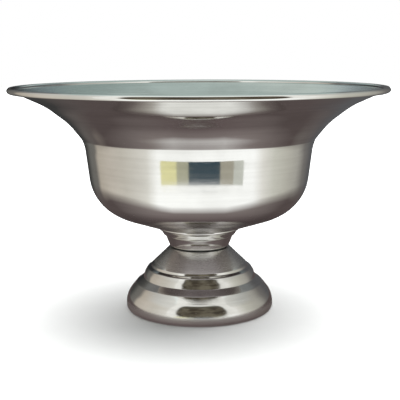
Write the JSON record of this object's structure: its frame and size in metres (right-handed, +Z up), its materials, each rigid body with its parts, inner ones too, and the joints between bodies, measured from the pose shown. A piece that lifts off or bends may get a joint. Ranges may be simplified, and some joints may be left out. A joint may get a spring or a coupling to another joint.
{
  "type": "punch bowl",
  "caption": "Footed spun-steel punch bowl with a wide flared rim, a stepped collar and a two-tier foot, for serving party drinks.",
  "frame": {"origin": "middle of the foot's flat underside, on the table", "axes": "+Z up along the axis of turning; the shells are round, so +X and +Y are any two level directions at right angles"},
  "size_m": [0.4, 0.4, 0.242],
  "materials": {
    "polished_steel": "polished",
    "plain_steel": "satin",
    "steel_wire": "satin",
    "zinc_steel": "satin",
    "rubber": "matte"
  },
  "bodies": {
    "root": {"bowl": "polished_steel", "rim_wire": "steel_wire", "backing_disc": "plain_steel", "stud": "zinc_steel", "collar": "polished_steel", "neck_gasket": "rubber", "foot": "polished_steel", "clamp_washer": "zinc_steel", "spring_washer": "zinc_steel", "hex_nut": "zinc_steel"}
  },
  "joints": []
}
